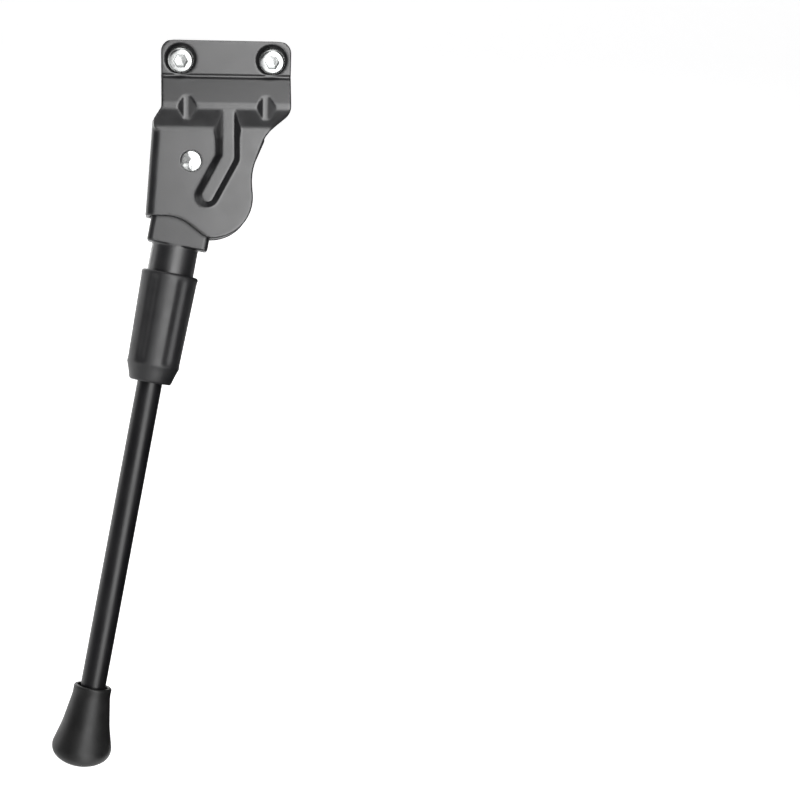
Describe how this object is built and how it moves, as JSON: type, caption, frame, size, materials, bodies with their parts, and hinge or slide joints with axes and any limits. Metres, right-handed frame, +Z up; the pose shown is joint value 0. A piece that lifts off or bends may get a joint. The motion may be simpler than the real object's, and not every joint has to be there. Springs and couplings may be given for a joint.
{
  "type": "bicycle kickstand",
  "caption": "Chainstay-mounted bicycle kickstand: pressed bolt-on bracket, folding leg with a twist-lock telescopic rod and a flared rubber foot.",
  "frame": {"origin": "centre of the two mounting bolts on the bracket's mounting face", "axes": "+Z up, +X to the rear of the bicycle, +Y inboard along the bolts towards the wheel"},
  "size_m": [0.108, 0.1245, 0.3086],
  "materials": {
    "bracket_paint": "satin black paint",
    "zinc_bolts": "bright zinc plating",
    "zinc_rivets": "bright zinc plating, peened",
    "nylon": "natural nylon",
    "leg_paint": "satin black paint on a casting",
    "spring_steel": "oiled spring wire",
    "sleeve_plastic": "satin moulded plastic",
    "rod_black": "glossy black anodised",
    "foot_rubber": "matt moulded rubber"
  },
  "bodies": {
    "bracket": {"mounting_bracket": "bracket_paint", "mount_bolt_front": "zinc_bolts", "mount_bolt_rear": "zinc_bolts", "pivot_rivet_outer": "zinc_rivets", "pivot_rivet_inner": "zinc_rivets", "pivot_washer_outer": "nylon", "pivot_washer_inner": "nylon"},
    "leg": {"leg_head": "leg_paint", "spring_pin": "zinc_rivets", "toggle_spring": "spring_steel", "clamp_collet": "nylon"},
    "sleeve": {"clamp_sleeve": "sleeve_plastic"},
    "rod": {"lower_rod": "rod_black", "rod_guide": "nylon", "foot": "foot_rubber"}
  },
  "joints": [
    {"name": "leg_fold", "type": "hinge", "parent": "bracket", "child": "leg", "pos_m": [-0.0156, -0.0004, -0.04803], "axis": [0, -0.9397, 0.342], "range_deg": [0, 95], "deforming": ["toggle_spring"]},
    {"name": "sleeve_twist", "type": "hinge", "parent": "leg", "child": "sleeve", "pos_m": [-0.0156, -0.0004, -0.04803], "axis": [-0.1882, -0.3359, -0.9229], "range_deg": [0, 180]},
    {"name": "rod_slide", "type": "slide", "parent": "leg", "child": "rod", "axis": [-0.1882, -0.3359, -0.9229], "range_m": [-0.016, 0.019]}
  ]
}
